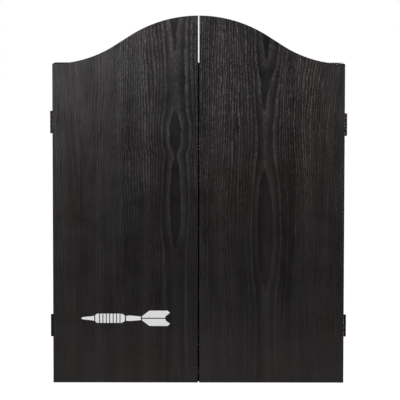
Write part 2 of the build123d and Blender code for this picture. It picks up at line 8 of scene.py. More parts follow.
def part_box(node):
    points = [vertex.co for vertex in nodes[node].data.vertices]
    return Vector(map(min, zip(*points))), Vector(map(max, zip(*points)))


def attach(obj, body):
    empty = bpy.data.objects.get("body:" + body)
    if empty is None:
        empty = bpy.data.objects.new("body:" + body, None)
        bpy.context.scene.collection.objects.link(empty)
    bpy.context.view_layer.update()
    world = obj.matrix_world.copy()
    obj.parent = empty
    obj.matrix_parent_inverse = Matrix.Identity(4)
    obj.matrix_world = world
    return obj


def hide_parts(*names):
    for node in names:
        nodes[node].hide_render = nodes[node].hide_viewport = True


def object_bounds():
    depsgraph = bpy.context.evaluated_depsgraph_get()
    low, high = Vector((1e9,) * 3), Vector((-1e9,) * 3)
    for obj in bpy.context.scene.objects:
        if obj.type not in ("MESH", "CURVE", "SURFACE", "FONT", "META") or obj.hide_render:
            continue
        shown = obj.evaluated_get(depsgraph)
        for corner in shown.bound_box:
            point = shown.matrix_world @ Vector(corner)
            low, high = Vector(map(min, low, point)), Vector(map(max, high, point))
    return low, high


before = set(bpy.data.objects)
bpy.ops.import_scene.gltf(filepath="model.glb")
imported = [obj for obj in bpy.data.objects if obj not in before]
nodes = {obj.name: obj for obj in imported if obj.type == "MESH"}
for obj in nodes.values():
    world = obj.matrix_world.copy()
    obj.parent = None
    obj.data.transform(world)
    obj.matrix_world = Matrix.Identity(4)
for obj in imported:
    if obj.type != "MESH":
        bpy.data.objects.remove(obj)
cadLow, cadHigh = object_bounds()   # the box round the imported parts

mm = 0.001
white = (1.0, 1.0, 1.0)
print("frame loaded:", len(nodes), "parts")


# helpers for node trees: a socket is linked, anything else is typed into the input
def feed(tree, socket, value):
    if isinstance(value, bpy.types.NodeSocket):
        tree.links.new(value, socket)
    elif value is not None:
        socket.default_value = value


def calc(tree, operation, *values, clamp=False):
    node = tree.nodes.new("ShaderNodeMath")
    node.operation = operation
    node.use_clamp = clamp
    for socket, value in zip(node.inputs, values):
        feed(tree, socket, value)
    return node.outputs[0]


def product(tree, *values):
    result = values[0]
    for value in values[1:]:
        result = calc(tree, "MULTIPLY", result, value)
    return result


def total(tree, *values, clamp=False):
    result = values[0]
    for value in values[1:]:
        result = calc(tree, "ADD", result, value, clamp=clamp)
    return result


def less(tree, value, taken):
    return calc(tree, "SUBTRACT", value, taken)


def combine(tree, x, y, z):
    node = tree.nodes.new("ShaderNodeCombineXYZ")
    for socket, value in zip(node.inputs, (x, y, z)):
        feed(tree, socket, value)
    return node.outputs[0]


def split(tree, vector):
    node = tree.nodes.new("ShaderNodeSeparateXYZ")
    tree.links.new(vector, node.inputs[0])
    return node.outputs


def stretch(tree, vector, scale, shift=(0.0, 0.0, 0.0)):
    node = tree.nodes.new("ShaderNodeVectorMath")
    node.operation = "MULTIPLY_ADD"
    tree.links.new(vector, node.inputs[0])
    node.inputs[1].default_value = scale
    feed(tree, node.inputs[2], shift)
    return node.outputs[0]


def noise(tree, vector, scale=1.0, detail=2.0, roughness=0.5, distortion=0.0):
    node = tree.nodes.new("ShaderNodeTexNoise")
    tree.links.new(vector, node.inputs["Vector"])
    feed(tree, node.inputs["Scale"], scale)
    node.inputs["Detail"].default_value = detail
    node.inputs["Roughness"].default_value = roughness
    node.inputs["Distortion"].default_value = distortion
    return node.outputs["Fac"]


def cells(tree, vector, scale=1.0):
    node = tree.nodes.new("ShaderNodeTexVoronoi")
    tree.links.new(vector, node.inputs["Vector"])
    node.inputs["Scale"].default_value = scale
    return node.outputs


def remap(tree, value, low, high, toLow=0.0, toHigh=1.0, smooth=True):
    node = tree.nodes.new("ShaderNodeMapRange")
    node.interpolation_type = "SMOOTHSTEP" if smooth else "LINEAR"
    for socket, number in zip(node.inputs, (value, low, high, toLow, toHigh)):
        feed(tree, socket, number)
    return node.outputs[0]


def colour(value):
    return (value, value, value, 1.0) if isinstance(value, float) else (*value, 1.0)


def ramp(tree, factor, stops):
    node = tree.nodes.new("ShaderNodeValToRGB")
    elements = node.color_ramp.elements
    while len(elements) < len(stops):
        elements.new(1.0)
    for element, (position, value) in zip(elements, stops):
        element.position = position
        element.color = colour(value)
    tree.links.new(factor, node.inputs[0])
    return node.outputs[0]


def floatCurve(tree, value, points):
    node = tree.nodes.new("ShaderNodeFloatCurve")
    curve = node.mapping.curves[0]
    while len(curve.points) < len(points):
        curve.points.new(0.5, 0.5)
    for spot, (position, height) in zip(curve.points, points):
        spot.location = (position, height)
    node.mapping.update()
    tree.links.new(value, node.inputs["Value"])
    return node.outputs[0]


def mixColour(tree, factor, first, second, blend="MIX"):
    node = tree.nodes.new("ShaderNodeMix")
    node.data_type = "RGBA"
    node.blend_type = blend
    feed(tree, node.inputs[0], factor)
    for socket, value in ((node.inputs[6], first), (node.inputs[7], second)):
        feed(tree, socket, value if isinstance(value, bpy.types.NodeSocket) else colour(value))
    return node.outputs[2]


def mixValue(tree, factor, first, second):
    node = tree.nodes.new("ShaderNodeMix")
    for socket, value in ((node.inputs[0], factor), (node.inputs[2], first), (node.inputs[3], second)):
        feed(tree, socket, value)
    return node.outputs[0]


def ownPlace(tree):
    return tree.nodes.new("ShaderNodeTexCoord").outputs["Object"]


def newMaterial(name, look, **fixed):
    material = bpy.data.materials.new(name)
    material.use_nodes = True
    shader = material.node_tree.nodes["Principled BSDF"]
    shader.inputs["Specular IOR Level"].default_value = look.get("gloss", 0.5)
    for socket, value in fixed.items():
        shader.inputs[socket.replace("_", " ")].default_value = value
    return material, material.node_tree, shader


# every material ends here: its colour, its roughness and a height that bumps it
def finish(tree, shader, tone, rough, height, look):
    node = tree.nodes.new("ShaderNodeBump")
    node.inputs["Distance"].default_value = look["relief"]
    tree.links.new(height, node.inputs["Height"])
    results = {"Base Color": tone, "Roughness": rough, "Normal": node.outputs["Normal"]}
    for label, result in results.items():
        tree.links.new(result, shader.inputs[label])


def dress(material, *names):
    for name in names:
        slots = nodes[name].data.materials
        slots.clear()
        slots.append(material)


def newGroup(name, inputs, outputs):
    group = bpy.data.node_groups.new(name, "ShaderNodeTree")
    for label, value in inputs.items():
        kind = "NodeSocketVector" if value is None else "NodeSocketFloat"
        socket = group.interface.new_socket(label, in_out="INPUT", socket_type=kind)
        if value is not None:
            socket.default_value = value
    for label in outputs:
        group.interface.new_socket(label, in_out="OUTPUT", socket_type="NodeSocketFloat")
    entry = group.nodes.new("NodeGroupInput").outputs
    leave = group.nodes.new("NodeGroupOutput").inputs
    return group, entry, leave


def useGroup(tree, group, **values):
    node = tree.nodes.new("ShaderNodeGroup")
    node.node_tree = group
    for label, value in values.items():
        feed(tree, node.inputs[label.replace("_", " ")], value)
    return node.outputs


# the figure of open-pored oak: rings round a heart line, the pores in them and soft broad bands
grainForm = {
    "inputs": {"Place": None, "Heart": 0.0, "Swell": 0.0, "Seed": 0.0, "Wide Ring": 26 * mm,
               "Narrow Ring": 4.8 * mm, "Wander": 16 * mm, "Wobble": 7 * mm, "Jag": 3.4 * mm},
    "sway": 16 * mm, "swayPace": 2.4, "tipRound": 2 * mm, "wanderFrom": (2 * mm, 40 * mm),
    "wanderScale": (17.0, 17.0, 3.0), "wobbleScale": (75.0, 20.0, 12.0), "jagScale": (230.0, 60.0, 48.0),
    # rings are wide beside the heart and turn narrow round this distance from it
    "turnAt": 24 * mm, "turnOver": 12 * mm, "turnLead": 3.1 * mm, "firstRing": -0.06, "ringsBelow": 40.0,
    "earlyWood": [(0.0, 1.0), (0.12, 0.88), (0.34, 0.5), (0.6, 0.12), (0.92, 0.0), (1.0, 0.45)],
    "weakest": 0.5, "fadeScale": (85.0, 30.0, 7.0), "fading": (0.34, 0.6),
    "fineScale": (1050.0, 1050.0, 120.0), "fine": (0.42, 0.58), "coarseScale": (330.0, 330.0, 150.0),
    "coarse": (0.4, 0.6), "lines": 0.65, "speckleScale": (620.0, 620.0, 210.0), "speckle": (0.62, 0.25),
    "speckles": 0.45, "bandScale": (42.0, 26.0, 1.9), "bands": (0.36, 0.66),
}


def buildOakGrain(form):
    group, given, out = newGroup("oakGrain", form["inputs"], ("Rings", "Pores", "Bands", "Offset"))
    place, seed = given["Place"], given["Seed"]
    across, _, along = split(group, place)

    def field(scale, detail, shift=(0.0, 0.0, 0.0), roughness=0.5):
        moved = stretch(group, place, form[scale], combine(group, *shift))
        return noise(group, moved, detail=detail, roughness=roughness)

    def pushed(distance, push, *amounts):
        return total(group, distance, product(group, less(group, push, 0.5), *amounts))

    sway = noise(group, combine(group, seed, 0.0, product(group, along, form["swayPace"])), detail=1.0)
    heart = pushed(given["Heart"], sway, form["sway"])
    offset = less(group, across, heart)
    away = calc(group, "SQRT", total(group, product(group, offset, offset), form["tipRound"] ** 2))
    beside = remap(group, away, *form["wanderFrom"])
    away = pushed(away, field("wanderScale", 1.0, (seed, seed, 0.0)), given["Wander"], beside)
    away = pushed(away, field("wobbleScale", 4.0, (0.0, seed, seed), 0.55), given["Wobble"])
    away = pushed(away, field("jagScale", 3.0, (seed, 0.0, seed)), given["Jag"])

    bend = less(group, away, form["turnAt"])
    past = total(group, product(group, bend, bend), form["turnOver"] ** 2)
    past = less(group, total(group, bend, calc(group, "SQRT", past)), form["turnLead"])
    extra = less(group, calc(group, "DIVIDE", 0.5, given["Narrow Ring"]),
                 calc(group, "DIVIDE", 0.5, given["Wide Ring"]))
    ring = total(group, calc(group, "DIVIDE", away, given["Wide Ring"]), product(group, past, extra),
                 given["Swell"], form["firstRing"], form["ringsBelow"])
    unevenness = group.nodes.new("ShaderNodeTexWhiteNoise")
    unevenness.noise_dimensions = "1D"
    feed(group, unevenness.inputs["W"], total(group, calc(group, "FLOOR", ring), seed))
    earlyWood = ramp(group, calc(group, "FRACT", ring), form["earlyWood"])
    strength = remap(group, unevenness.outputs["Value"], 0.0, 1.0, form["weakest"], 1.0, smooth=False)
    fading = field("fadeScale", 2.0, (seed, seed, seed))
    fading = remap(group, fading, *form["fading"], form["weakest"], 1.0)
    feed(group, out["Rings"], product(group, earlyWood, strength, fading))

    fine = remap(group, field("fineScale", 2.0, roughness=0.6), *form["fine"])
    coarse = remap(group, field("coarseScale", 1.0), *form["coarse"])
    speckle = cells(group, stretch(group, place, form["speckleScale"]))["Distance"]
    speckle = product(group, remap(group, speckle, *form["speckle"]), form["speckles"])
    feed(group, out["Pores"], total(group, product(group, fine, coarse, form["lines"]), speckle))
    bands = field("bandScale", 3.0, (seed, 0.0, seed))
    feed(group, out["Bands"], remap(group, bands, *form["bands"]))
    feed(group, out["Offset"], offset)
    return group


# bare or rubbed edges: where a rounded normal leaves the flat one, broken up by noise
wearForm = {"samples": 4, "facing": (0.99, 0.8), "patches": (0.42, 0.62)}


def buildEdgeWear(form):
    inputs = {"Place": None, "Radius": 1 * mm, "Patchiness": 90.0}
    group, given, out = newGroup("edgeWear", inputs, ("Mask",))
    bevel = group.nodes.new("ShaderNodeBevel")
    bevel.samples = form["samples"]
    feed(group, bevel.inputs["Radius"], given["Radius"])
    facing = group.nodes.new("ShaderNodeVectorMath")
    facing.operation = "DOT_PRODUCT"
    group.links.new(bevel.outputs[0], facing.inputs[0])
    group.links.new(group.nodes.new("ShaderNodeNewGeometry").outputs["Normal"], facing.inputs[1])
    edge = remap(group, facing.outputs["Value"], *form["facing"])
    patches = remap(group, noise(group, given["Place"], given["Patchiness"]), *form["patches"])
    feed(group, out["Mask"], product(group, edge, patches))
    return group


# dust that settles on what faces up, and a few loose specks everywhere
dustForm = {"upward": (0.55, 0.95), "cloudScale": 34.0, "cloud": (0.34, 0.78),
            "lintScale": 62.0, "lint": (0.05, 0.028)}


def buildDust(form):
    group, given, out = newGroup("dust", {"Place": None, "Settled": 0.5, "Specks": 0.3}, ("Mask",))
    normal = group.nodes.new("ShaderNodeNewGeometry").outputs["Normal"]
    upward = remap(group, split(group, normal)[2], *form["upward"])
    cloud = noise(group, given["Place"], form["cloudScale"], detail=5.0, roughness=0.65)
    settled = product(group, upward, remap(group, cloud, *form["cloud"]), given["Settled"])
    lint = remap(group, cells(group, given["Place"], form["lintScale"])["Distance"], *form["lint"])
    specks = product(group, lint, given["Specks"])
    feed(group, out["Mask"], total(group, settled, specks, clamp=True))
    return group


# small wandering scratches and handling marks, mostly for roughness
# each set of scratches has its turn in radians, then how slender it is
handlingForm = {"smudgeScale": 22.0, "smudge": (0.35, 0.7), "sets": ((0.5, 9.0), (-0.9, 13.0), (2.2, 11.0)),
                "fine": 420.0, "scratch": (0.735, 0.77)}


def buildHandling(form):
    group, given, out = newGroup("handling", {"Place": None, "Scale": 1.0}, ("Smudge", "Scratch"))
    scaled = group.nodes.new("ShaderNodeVectorMath")
    scaled.operation = "SCALE"
    group.links.new(given["Place"], scaled.inputs[0])
    group.links.new(given["Scale"], scaled.inputs["Scale"])
    place = scaled.outputs[0]
    smudge = noise(group, place, form["smudgeScale"], detail=4.0, roughness=0.6)
    feed(group, out["Smudge"], remap(group, smudge, *form["smudge"]))
    scratches = []
    for turn, slender in form["sets"]:
        rotate = group.nodes.new("ShaderNodeVectorRotate")
        rotate.rotation_type = "Y_AXIS"
        rotate.inputs["Angle"].default_value = turn
        group.links.new(place, rotate.inputs["Vector"])
        scale = (form["fine"], form["fine"], slender)
        streak = noise(group, stretch(group, rotate.outputs[0], scale), detail=1.0)
        scratches.append(remap(group, streak, *form["scratch"]))
    feed(group, out["Scratch"], total(group, *scratches, clamp=True))
    return group


# the drawn and rolled lines of bright metal, which run along x
brushedForm = {"blotchScale": 160.0, "blotches": (0.35, 0.68)}


def buildBrushed(form):
    inputs = {"Place": None, "Fine": 900.0, "Length": 30.0}
    group, given, out = newGroup("brushedMetal", inputs, ("Lines", "Blotches"))
    x, y, z = split(group, given["Place"])
    place = combine(group, product(group, x, given["Length"]), product(group, y, given["Fine"]),
                    product(group, z, given["Fine"]))
    feed(group, out["Lines"], noise(group, place))
    blotches = noise(group, given["Place"], form["blotchScale"], detail=4.0)
    feed(group, out["Blotches"], remap(group, blotches, *form["blotches"]))
    return group


oakGrain = buildOakGrain(grainForm)
edgeWear = buildEdgeWear(wearForm)
dust = buildDust(dustForm)
handling = buildHandling(handlingForm)
brushedMetal = buildBrushed(brushedForm)
print("shared effects built")


# a tone whose edges are rubbed to what lies under it
def rubbed(tree, own, tone, look):
    worn = useGroup(tree, edgeWear, Place=own, Radius=look["edge"], Patchiness=look["patchiness"])
    return mixColour(tree, product(tree, worn["Mask"], look["wear"]), tone, look["under"])


def dustMask(tree, own, look):
    settled, specks = look["dust"]
    return useGroup(tree, dust, Place=own, Settled=settled, Specks=specks)["Mask"]


def dusted(tree, own, tone, look):
    return mixColour(tree, dustMask(tree, own, look), tone, look["dustTone"])


# black open-pored oak: place names the axes across the grain, through it and along it
def blackOak(name, place, look):
    material, tree, shader = newMaterial(name, look)
    own = ownPlace(tree)
    axes = dict(zip("xyz", split(tree, own)))
    grainPlace = combine(tree, *(axes[axis] for axis in place))
    along = axes[place[2]]
    swell = 0.0
    if look["swells"]:
        low, high = look["span"]
        tallest = max(height for position, height in look["swells"])
        points = [((position - low) / (high - low), height / tallest)
                  for position, height in look["swells"]]
        share = remap(tree, along, low, high, smooth=False)
        swell = product(tree, floatCurve(tree, share, sorted(points)), tallest)
    grain = useGroup(tree, oakGrain, Place=grainPlace, Heart=look["heart"], Swell=swell,
                     Seed=look["seed"], Narrow_Ring=look["narrowRing"], Wander=look["wander"])

    outward = product(tree, grain["Offset"], look["calmSide"])
    calm = remap(tree, outward, *look["calmFrom"], 1.0, look["calmest"])
    # the grain's light lines fade toward the bottom: partly the figure, partly painted raking light on the
    # upper half
    grainAndLightFade = remap(tree, along, *look["grainAndLightFadeBetween"], look["grainAndLightFaded"], 1.0)
    nearHeart = calc(tree, "ABSOLUTE", grain["Offset"])
    nearHeart = remap(tree, nearHeart, *look["heartEdge"], look["heartCalm"], 1.0)
    contrast = product(tree, calm, grainAndLightFade, nearHeart)
    pored = total(tree, product(tree, grain["Pores"], look["poreLight"]), look["ringLight"])
    light = product(tree, grain["Rings"], pored, contrast)
    veil = product(tree, grain["Bands"], look["bandStrength"])
    # where the pores are calm, a second heart further out shows as wide soft flames
    flames = useGroup(tree, oakGrain, Place=grainPlace, Heart=look["flameHeart"],
                      Swell=product(tree, along, look["flameSwell"]), Seed=look["seed"] + look["flameSeed"],
                      Wide_Ring=look["flameRing"], Narrow_Ring=look["flameNarrow"],
                      Wander=look["flameWander"], Wobble=look["flameWobble"])
    # the calm side is lightened by a haze, partly a milky finish and partly a painted sheen, and by the
    # flames
    hazeAndSheen = total(tree, look["hazeAndSheen"], product(tree, flames["Rings"], grainAndLightFade, look["flames"]))
    hazeAndSheen = product(tree, less(tree, 1.0, calm), hazeAndSheen)
    # cloud is a painted sheen: the door turns lighter toward the bottom
    cloud = remap(tree, along, *look["bottomSheenBetween"], look["cloud"], 0.0)
    light = total(tree, light, veil, hazeAndSheen, cloud, clamp=True)

    tone = mixColour(tree, light, look["dark"], look["light"])
    hue = noise(tree, stretch(tree, own, look["hueScale"]), detail=3.0)
    hue = mixColour(tree, remap(tree, hue, *look["hueTurn"]), look["coolHue"], look["warmHue"])
    tone = mixColour(tree, 1.0, tone, hue, blend="MULTIPLY")
    tone = dusted(tree, own, rubbed(tree, own, tone, look), look)

    marks = useGroup(tree, handling, Place=own)
    rough = total(tree, product(tree, grain["Rings"], look["ringRough"]),
                  product(tree, marks["Smudge"], look["smudgeRough"]), look["roughness"],
                  product(tree, marks["Scratch"], look["scratchRough"]))
    pits = product(tree, grain["Pores"], total(tree, grain["Rings"], look["strayPores"]), contrast)
    height = less(tree, product(tree, grain["Rings"], look["ringHeight"]), pits)
    finish(tree, shader, tone, rough, height, look)
    return material


# a range far outside the part leaves a board without calm, without the fade of the grain, which is partly
# painted raking light, and without cloud, a painted sheen toward the bottom
nowhere = (-9.0, -8.0)
plainOak = {
    "dark": (0.003, 0.0023, 0.0025), "light": (0.082, 0.0722, 0.0732), "gloss": 0.42, "roughness": 0.36,
    "narrowRing": 4.2 * mm, "wander": 26 * mm, "swells": [], "span": (-0.256, 0.388),
    "calmSide": 1.0, "calmFrom": nowhere, "calmest": 1.0,
    "grainAndLightFadeBetween": nowhere, "grainAndLightFaded": 1.0, "bottomSheenBetween": nowhere, "cloud": 0.0,
    # the haze on the calm side is partly a milky finish and partly a painted sheen
    "heartEdge": (6 * mm, 40 * mm), "heartCalm": 1.0, "bandStrength": 0.07, "hazeAndSheen": 0.05,
    "poreLight": 1.15, "ringLight": 0.14, "strayPores": 0.2, "ringHeight": 0.3, "relief": 0.14 * mm,
    "flames": 0.2, "flameHeart": 300 * mm, "flameSeed": 5.0, "flameRing": 22 * mm, "flameNarrow": 9.9 * mm,
    "flameSwell": -9.0, "flameWander": 20 * mm, "flameWobble": 12 * mm,
    "hueScale": (9.0, 9.0, 5.0), "hueTurn": (0.36, 0.64), "coolHue": (0.94, 0.96, 1.08),
    "warmHue": (1.06, 1.0, 0.93), "ringRough": 0.16, "smudgeRough": -0.07, "scratchRough": 0.05,
    "edge": 1.1 * mm, "patchiness": 90.0, "wear": 0.2, "under": (0.07, 0.065, 0.061),
    "dust": (0.11, 0.12), "dustTone": (0.34, 0.33, 0.32),
}
# the swells say how far the rings are pushed out along the heart line, by height over the board's centre
doorOak = {
    "left": dict(
        plainOak, heart=-43 * mm, seed=11.3, calmSide=-1.0, calmFrom=(0.095, 0.14), calmest=0.22,
        # the grain's light lines fade below this span, partly figure and partly painted raking light
        grainAndLightFadeBetween=(0.0, 0.27), grainAndLightFaded=0.22, flameHeart=-196 * mm, heartCalm=0.58,
        # cloud here is a painted sheen that lightens the door toward the bottom
        bottomSheenBetween=(-0.23, -0.1), cloud=0.06,
        swells=[(0.388, 0.55), (0.326, 1.0), (0.277, 1.13), (0.227, 1.0), (0.18, 0.5), (0.158, 0.66),
                (0.145, 0.93), (0.13, 0.8), (0.1, 0.62), (0.05, 0.55), (-0.03, 1.0), (-0.12, 1.15),
                (-0.256, 0.9)],
    ),
    "right": dict(
        # this door's stronger haze is partly a milky finish and partly a painted sheen on its calm side
        plainOak, heart=117 * mm, seed=4.7, calmSide=1.0, calmFrom=(0.05, 0.15), calmest=0.3,
        # the grain's light lines fade below this span, partly figure and partly painted raking light
        grainAndLightFadeBetween=(-0.01, 0.27), grainAndLightFaded=0.22, flameHeart=226 * mm, hazeAndSheen=0.1, heartCalm=0.66,
        # cloud here is a painted sheen that lightens the door toward the bottom
        bottomSheenBetween=(-0.23, -0.1), cloud=0.07,
        swells=[(0.388, 0.55), (0.305, 1.0), (0.288, 1.4), (0.22, 2.0), (0.17, 2.3), (0.124, 2.0),
                (0.066, 1.42), (0.0, 1.35), (-0.06, 1.6), (-0.1, 2.0), (-0.17, 2.2), (-0.256, 1.9)],
    ),
}
for side, look in doorOak.items():
    dress(blackOak(f"doorOak_{side}", "xyz", look), f"door_{side}")
sideOak = dict(plainOak, heart=40 * mm, seed=21.0, bandStrength=0.08)
shelfOak = dict(plainOak, heart=60 * mm, seed=33.0, bandStrength=0.08, gloss=0.12, roughness=0.62)
dress(blackOak("caseSideOak", "yxz", sideOak), "side_panel_left", "side_panel_right")
dress(blackOak("caseShelfOak", "yzx", shelfOak), "top_panel", "bottom_panel")
print("black oak on doors and case")


# painted, blackened and moulded finishes share one recipe: a base with a skin, worn edges and dust
def coated(name, look):
    material, tree, shader = newMaterial(name, look)
    own = ownPlace(tree)
    blotch = remap(tree, noise(tree, own, look["blotches"], detail=4.0), *look["blotchTurn"])
    tone = mixColour(tree, blotch, look["colour"], look["otherColour"])
    marks = useGroup(tree, handling, Place=own, Scale=look["markScale"])
    tone = mixColour(tree, product(tree, marks["Scratch"], look["scratches"]), tone, look["under"])
    tone = dusted(tree, own, rubbed(tree, own, tone, look), look)
    rough = total(tree, look["roughness"], product(tree, marks["Smudge"], look["smudgeRough"]),
                  product(tree, marks["Scratch"], look["scratchRough"]))
    skin = noise(tree, own, look["skin"], detail=3.0, roughness=0.6)
    finish(tree, shader, tone, rough, skin, look)
    return material


plainCoat = dict(blotchTurn=(0.32, 0.7), patchiness=260.0, dustTone=(0.33, 0.32, 0.3), markScale=2.5,
                 smudgeRough=0.12, scratchRough=0.1)
coats = {
    "blackSteel": dict(
        plainCoat, colour=(0.007, 0.007, 0.008), otherColour=(0.014, 0.0135, 0.0135),
        under=(0.3, 0.28, 0.26), roughness=0.36, blotches=70.0, edge=0.35 * mm, wear=0.3, scratches=0.1,
        dust=(0.07, 0.035), skin=1600.0, relief=0.03 * mm),
    "bandSteel": dict(
        plainCoat, colour=(0.014, 0.014, 0.015), otherColour=(0.022, 0.022, 0.023), under=(0.26, 0.25, 0.24),
        roughness=0.42, blotches=20.0, edge=0.5 * mm, wear=0.6, scratches=0.2, dust=(0.1, 0.05),
        skin=900.0, relief=0.04 * mm),
    "catchPlastic": dict(
        plainCoat, colour=(0.045, 0.022, 0.013), otherColour=(0.06, 0.031, 0.019), under=(0.11, 0.07, 0.05),
        roughness=0.34, blotches=40.0, edge=0.4 * mm, wear=0.3, scratches=0.1, dust=(0.14, 0.07),
        skin=2400.0, relief=0.02 * mm),
    "magnetFerrite": dict(
        plainCoat, colour=(0.035, 0.035, 0.038), otherColour=(0.055, 0.054, 0.055), under=(0.12, 0.12, 0.12),
        roughness=0.6, blotches=300.0, edge=0.3 * mm, wear=0.4, scratches=0.05, dust=(0.1, 0.05),
        skin=3000.0, relief=0.06 * mm),
    "footRubber": dict(
        plainCoat, colour=(0.016, 0.016, 0.016), otherColour=(0.024, 0.023, 0.022), under=(0.07, 0.07, 0.07),
        roughness=0.72, blotches=110.0, edge=0.6 * mm, wear=0.3, scratches=0.04, dust=(0.25, 0.125),
        skin=2600.0, relief=0.08 * mm),
}
coatedNodes = {
    "blackSteel": [name for name in nodes if name.startswith("hinge_")] + ["case_screws"],
    "bandSteel": ["board_band"],
    "catchPlastic": ["catch_housing"],
    "magnetFerrite": ["catch_magnet"],
    "footRubber": ["board_feet"],
}
for name, look in coats.items():
    dress(coated(name, look), *coatedNodes[name])


def brightMetal(name, look):
    material, tree, shader = newMaterial(name, look, Metallic=1.0)
    own = ownPlace(tree)
    lines = useGroup(tree, brushedMetal, Place=own, Fine=look["fine"], Length=look["length"])
    tone = mixColour(tree, lines["Blotches"], look["colour"], look["otherColour"])
    tone = rubbed(tree, own, tone, look)
    marks = useGroup(tree, handling, Place=own, Scale=look["markScale"])
    rough = total(tree, look["roughness"], product(tree, lines["Lines"], look["lineRough"]),
                  product(tree, marks["Smudge"], look["smudgeRough"]))
    finish(tree, shader, tone, rough, total(tree, lines["Lines"], marks["Scratch"]), look)
    return material


plainMetal = dict(patchiness=300.0, wear=0.6, markScale=3.0, lineRough=0.18, smudgeRough=0.1)
metals = {
    "zincSteel": dict(
        plainMetal, colour=(0.55, 0.55, 0.53), otherColour=(0.66, 0.65, 0.6), under=(0.8, 0.79, 0.77),
        roughness=0.24, fine=700.0, length=200.0, edge=0.25 * mm, relief=0.01 * mm),
    "platedSteel": dict(
        plainMetal, colour=(0.62, 0.6, 0.56), otherColour=(0.7, 0.68, 0.63), under=(0.85, 0.84, 0.82),
        roughness=0.2, fine=1400.0, length=24.0, edge=0.4 * mm, relief=0.02 * mm),
    "wireSteel": dict(
        plainMetal, colour=(0.66, 0.66, 0.66), otherColour=(0.78, 0.78, 0.77), under=(0.9, 0.9, 0.9),
        roughness=0.16, fine=1200.0, length=1200.0, edge=0.3 * mm, relief=0.01 * mm),
}
doorScrews = [f"{kind}_{side}" for kind in ("scoreboard_screws", "dart_rack_screws", "strike_screw")
              for side in doorOak]
metalNodes = {
    "zincSteel": ["back_panel_pins", "bracket_screws", "catch_screws", "board_screw"] + doorScrews,
    "platedSteel": ["board_bracket", "catch_poles", "strike_plate_left", "strike_plate_right"],
    "wireSteel": ["bull_ring", "number_ring", "number_ring_clips"],
}
metalMaterials = {}
for name, look in metals.items():
    metalMaterials[name] = brightMetal(name, look)
    dress(metalMaterials[name], *metalNodes[name])
print("metal, plastic and rubber finishes")


# hardboard: black skin inside the case, raw brown with its press-screen pattern on the wall side
def hardboard(look):
    material, tree, shader = newMaterial("hardboard", look)
    own = ownPlace(tree)
    x, _, z = split(tree, own)
    normal = tree.nodes.new("ShaderNodeTexCoord").outputs["Normal"]
    raw = remap(tree, split(tree, normal)[1], *look["rawSide"])
    fibres = stretch(tree, own, look["fibreScale"])
    fibres = noise(tree, fibres, detail=5.0, roughness=0.7, distortion=1.2)
    clouds = remap(tree, noise(tree, own, look["cloudScale"], detail=4.0), *look["cloudTurn"])
    brown = remap(tree, fibres, *look["brownTurn"])
    brown = mixColour(tree, brown, look["fibreDark"], look["fibreLight"])
    brown = mixColour(tree, product(tree, clouds, look["stains"]), brown, look["stain"])
    black = remap(tree, fibres, *look["skinTurn"])
    black = mixColour(tree, black, look["skinDark"], look["skinLight"])
    tone = dusted(tree, own, mixColour(tree, raw, black, brown), look)
    turns = 2 * math.pi / look["screenPitch"]
    weave = [calc(tree, "SINE", product(tree, axis, turns)) for axis in (x, z)]
    relief = total(tree, product(tree, *weave, raw, look["screenHeight"]),
                   product(tree, fibres, mixValue(tree, raw, *look["fibreHeight"])))
    finish(tree, shader, tone, mixValue(tree, raw, *look["roughness"]), relief, look)
    return material


# roughness and fibreHeight give the black skin first and then the raw side
hardboardLook = {
    "gloss": 0.3, "rawSide": (-0.3, 0.1), "fibreScale": (260.0, 260.0, 190.0), "roughness": (0.48, 0.86),
    "fibreDark": (0.115, 0.058, 0.03), "fibreLight": (0.27, 0.155, 0.085), "brownTurn": (0.3, 0.7),
    "cloudScale": 11.0, "cloudTurn": (0.4, 0.7), "stains": 0.45, "stain": (0.1, 0.055, 0.032),
    "skinDark": (0.011, 0.011, 0.011), "skinLight": (0.02, 0.019, 0.019), "skinTurn": (0.35, 0.7),
    "dust": (0.2, 0.1), "dustTone": (0.36, 0.33, 0.3), "relief": 0.16 * mm,
    "screenPitch": 1.7 * mm, "screenHeight": 0.5, "fibreHeight": (0.15, 0.9),
}
dress(hardboard(hardboardLook), "back_panel")


# pale beech for the dowels and black-stained beech for the racks
def beech(name, look):
    material, tree, shader = newMaterial(name, look)
    own = ownPlace(tree)
    grain = useGroup(tree, oakGrain, Place=own, Heart=look["heart"], Seed=look["seed"],
                     Narrow_Ring=look["narrowRing"], Wander=look["wander"])
    rays = noise(tree, stretch(tree, own, look["rays"]), detail=2.0)
    tone = mixColour(tree, grain["Rings"], look["dark"], look["light"])
    tone = mixColour(tree, remap(tree, rays, *look["rayTurn"]), tone, look["fleck"])
    tone = dusted(tree, own, rubbed(tree, own, tone, look), look)
    rough = total(tree, look["roughness"], product(tree, rays, look["rayRough"]))
    finish(tree, shader, tone, rough, rays, look)
    return material


plainBeech = dict(heart=400 * mm, narrowRing=2.2 * mm, wander=6 * mm, rayTurn=(0.6, 0.72), rayRough=0.15,
                  edge=0.9 * mm, patchiness=200.0, dust=(0.25, 0.1), dustTone=(0.4, 0.38, 0.35),
                  relief=0.06 * mm)
rackLook = dict(
    plainBeech, dark=(0.014, 0.012, 0.011), light=(0.035, 0.03, 0.027), fleck=(0.05, 0.043, 0.038),
    under=(0.2, 0.13, 0.08), wear=0.55, gloss=0.4, roughness=0.4, seed=7.0, rays=(60.0, 700.0, 900.0))
dowelLook = dict(
    plainBeech, dark=(0.42, 0.27, 0.15), light=(0.6, 0.42, 0.26), fleck=(0.35, 0.2, 0.1),
    under=(0.62, 0.46, 0.3), wear=0.3, gloss=0.3, roughness=0.6, seed=9.0, rays=(60.0, 900.0, 900.0))
dress(beech("rackBeech", rackLook), "dart_rack_left", "dart_rack_right")
dress(beech("dowelBeech", dowelLook), "case_dowels")


